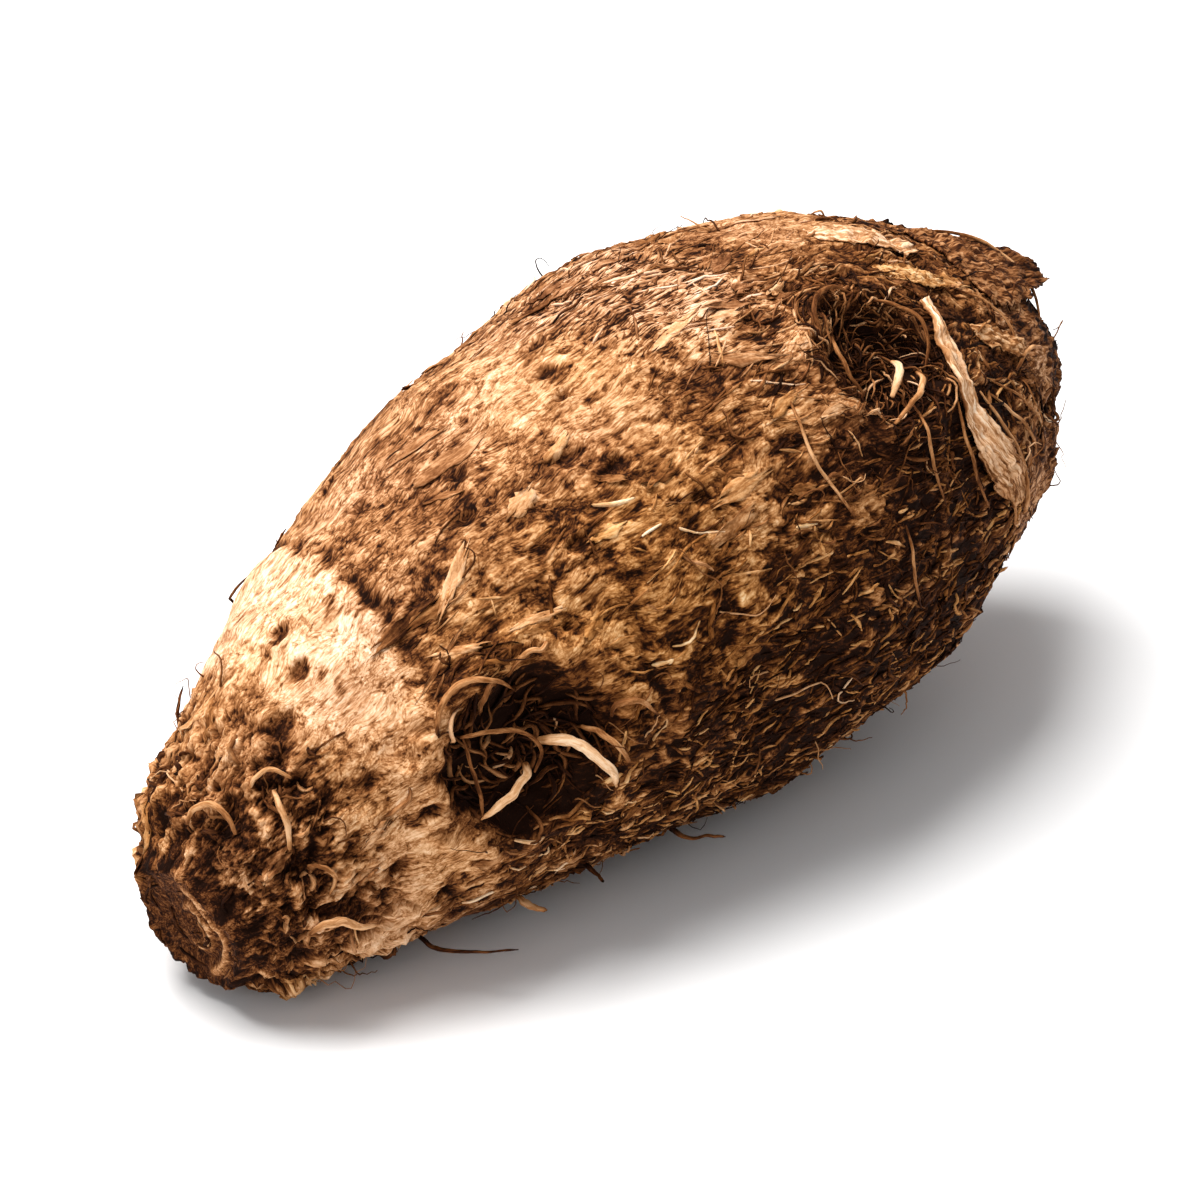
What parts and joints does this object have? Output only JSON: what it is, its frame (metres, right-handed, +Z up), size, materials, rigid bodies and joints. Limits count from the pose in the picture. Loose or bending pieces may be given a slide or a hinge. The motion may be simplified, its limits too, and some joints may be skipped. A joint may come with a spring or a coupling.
{
  "type": "taro root",
  "caption": "Whole taro corm with hairy brown bark, ringed leaf scars, a round basal scar, dried leaf sheaths and wiry rootlets, lying on its side.",
  "frame": {"origin": "on the surface that the corm lies on, under the middle of the whole object's box", "axes": "+X along the corm, from the basal scar to the leafy end; +Z up"},
  "size_m": [0.1684, 0.08, 0.0765],
  "materials": {
    "bark_skin": "matt, fibrous brown and cream bark",
    "dry_leaf_sheath": "dry papery leaf base",
    "pale_rootlet": "dry wiry root, pale",
    "dark_rootlet": "dry wiry root, dark"
  },
  "bodies": {
    "root": {"corm": "bark_skin", "leaf_sheath_front": "dry_leaf_sheath", "leaf_sheath_back": "dry_leaf_sheath", "leaf_sheath_tip": "dry_leaf_sheath", "rootlet_eye_hook": "pale_rootlet", "rootlet_eye_fork": "pale_rootlet", "rootlet_neck": "pale_rootlet", "rootlet_low_2": "pale_rootlet", "rootlet_back_2": "pale_rootlet", "rootlet_eye_arch": "dark_rootlet", "rootlet_low_1": "dark_rootlet", "rootlet_low_3": "dark_rootlet", "rootlet_low_4": "dark_rootlet", "rootlet_back_1": "dark_rootlet", "rootlet_back_3": "dark_rootlet"}
  },
  "joints": []
}
